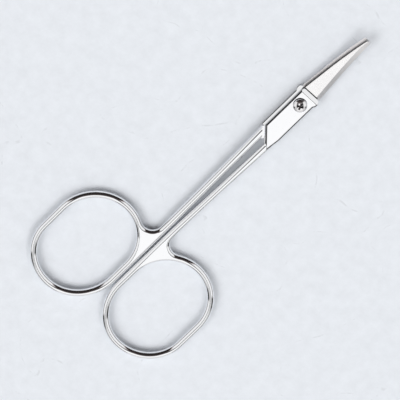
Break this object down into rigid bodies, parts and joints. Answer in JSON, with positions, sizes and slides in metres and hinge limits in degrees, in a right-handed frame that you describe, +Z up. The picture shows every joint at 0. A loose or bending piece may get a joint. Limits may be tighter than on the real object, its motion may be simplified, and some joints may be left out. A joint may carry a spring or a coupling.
{
  "type": "eyebrow scissors",
  "caption": "Small plated eyebrow scissors with upward-curved blades, a slotted-in lap joint on one screw, slim shanks and oval finger rings; the front lever opens about the screw.",
  "frame": {"origin": "on the pivot axis, in the plane of the back lever's underside, where the screw's tail ends flush with it", "axes": "+Z up through the screw, from the underside to the screw's head; +Y from the pivot to the blade tips; +X towards the front lever's finger ring"},
  "size_m": [0.0442, 0.0938, 0.0037],
  "materials": {
    "plating": "bright nickel or chrome plating over forged steel, polished, with finely ground outer blade faces and edge bevels",
    "screw": "polished steel screw, slightly duller than the levers"
  },
  "bodies": {
    "back": {"back_lever": "plating", "pivot_screw": "screw"},
    "front": {"front_lever": "plating"}
  },
  "joints": [
    {"name": "pivot", "type": "hinge", "parent": "back", "child": "front", "pos_m": [0, 0, 0.0013], "axis": [0, 0, 1], "range_deg": [0, 150]}
  ]
}
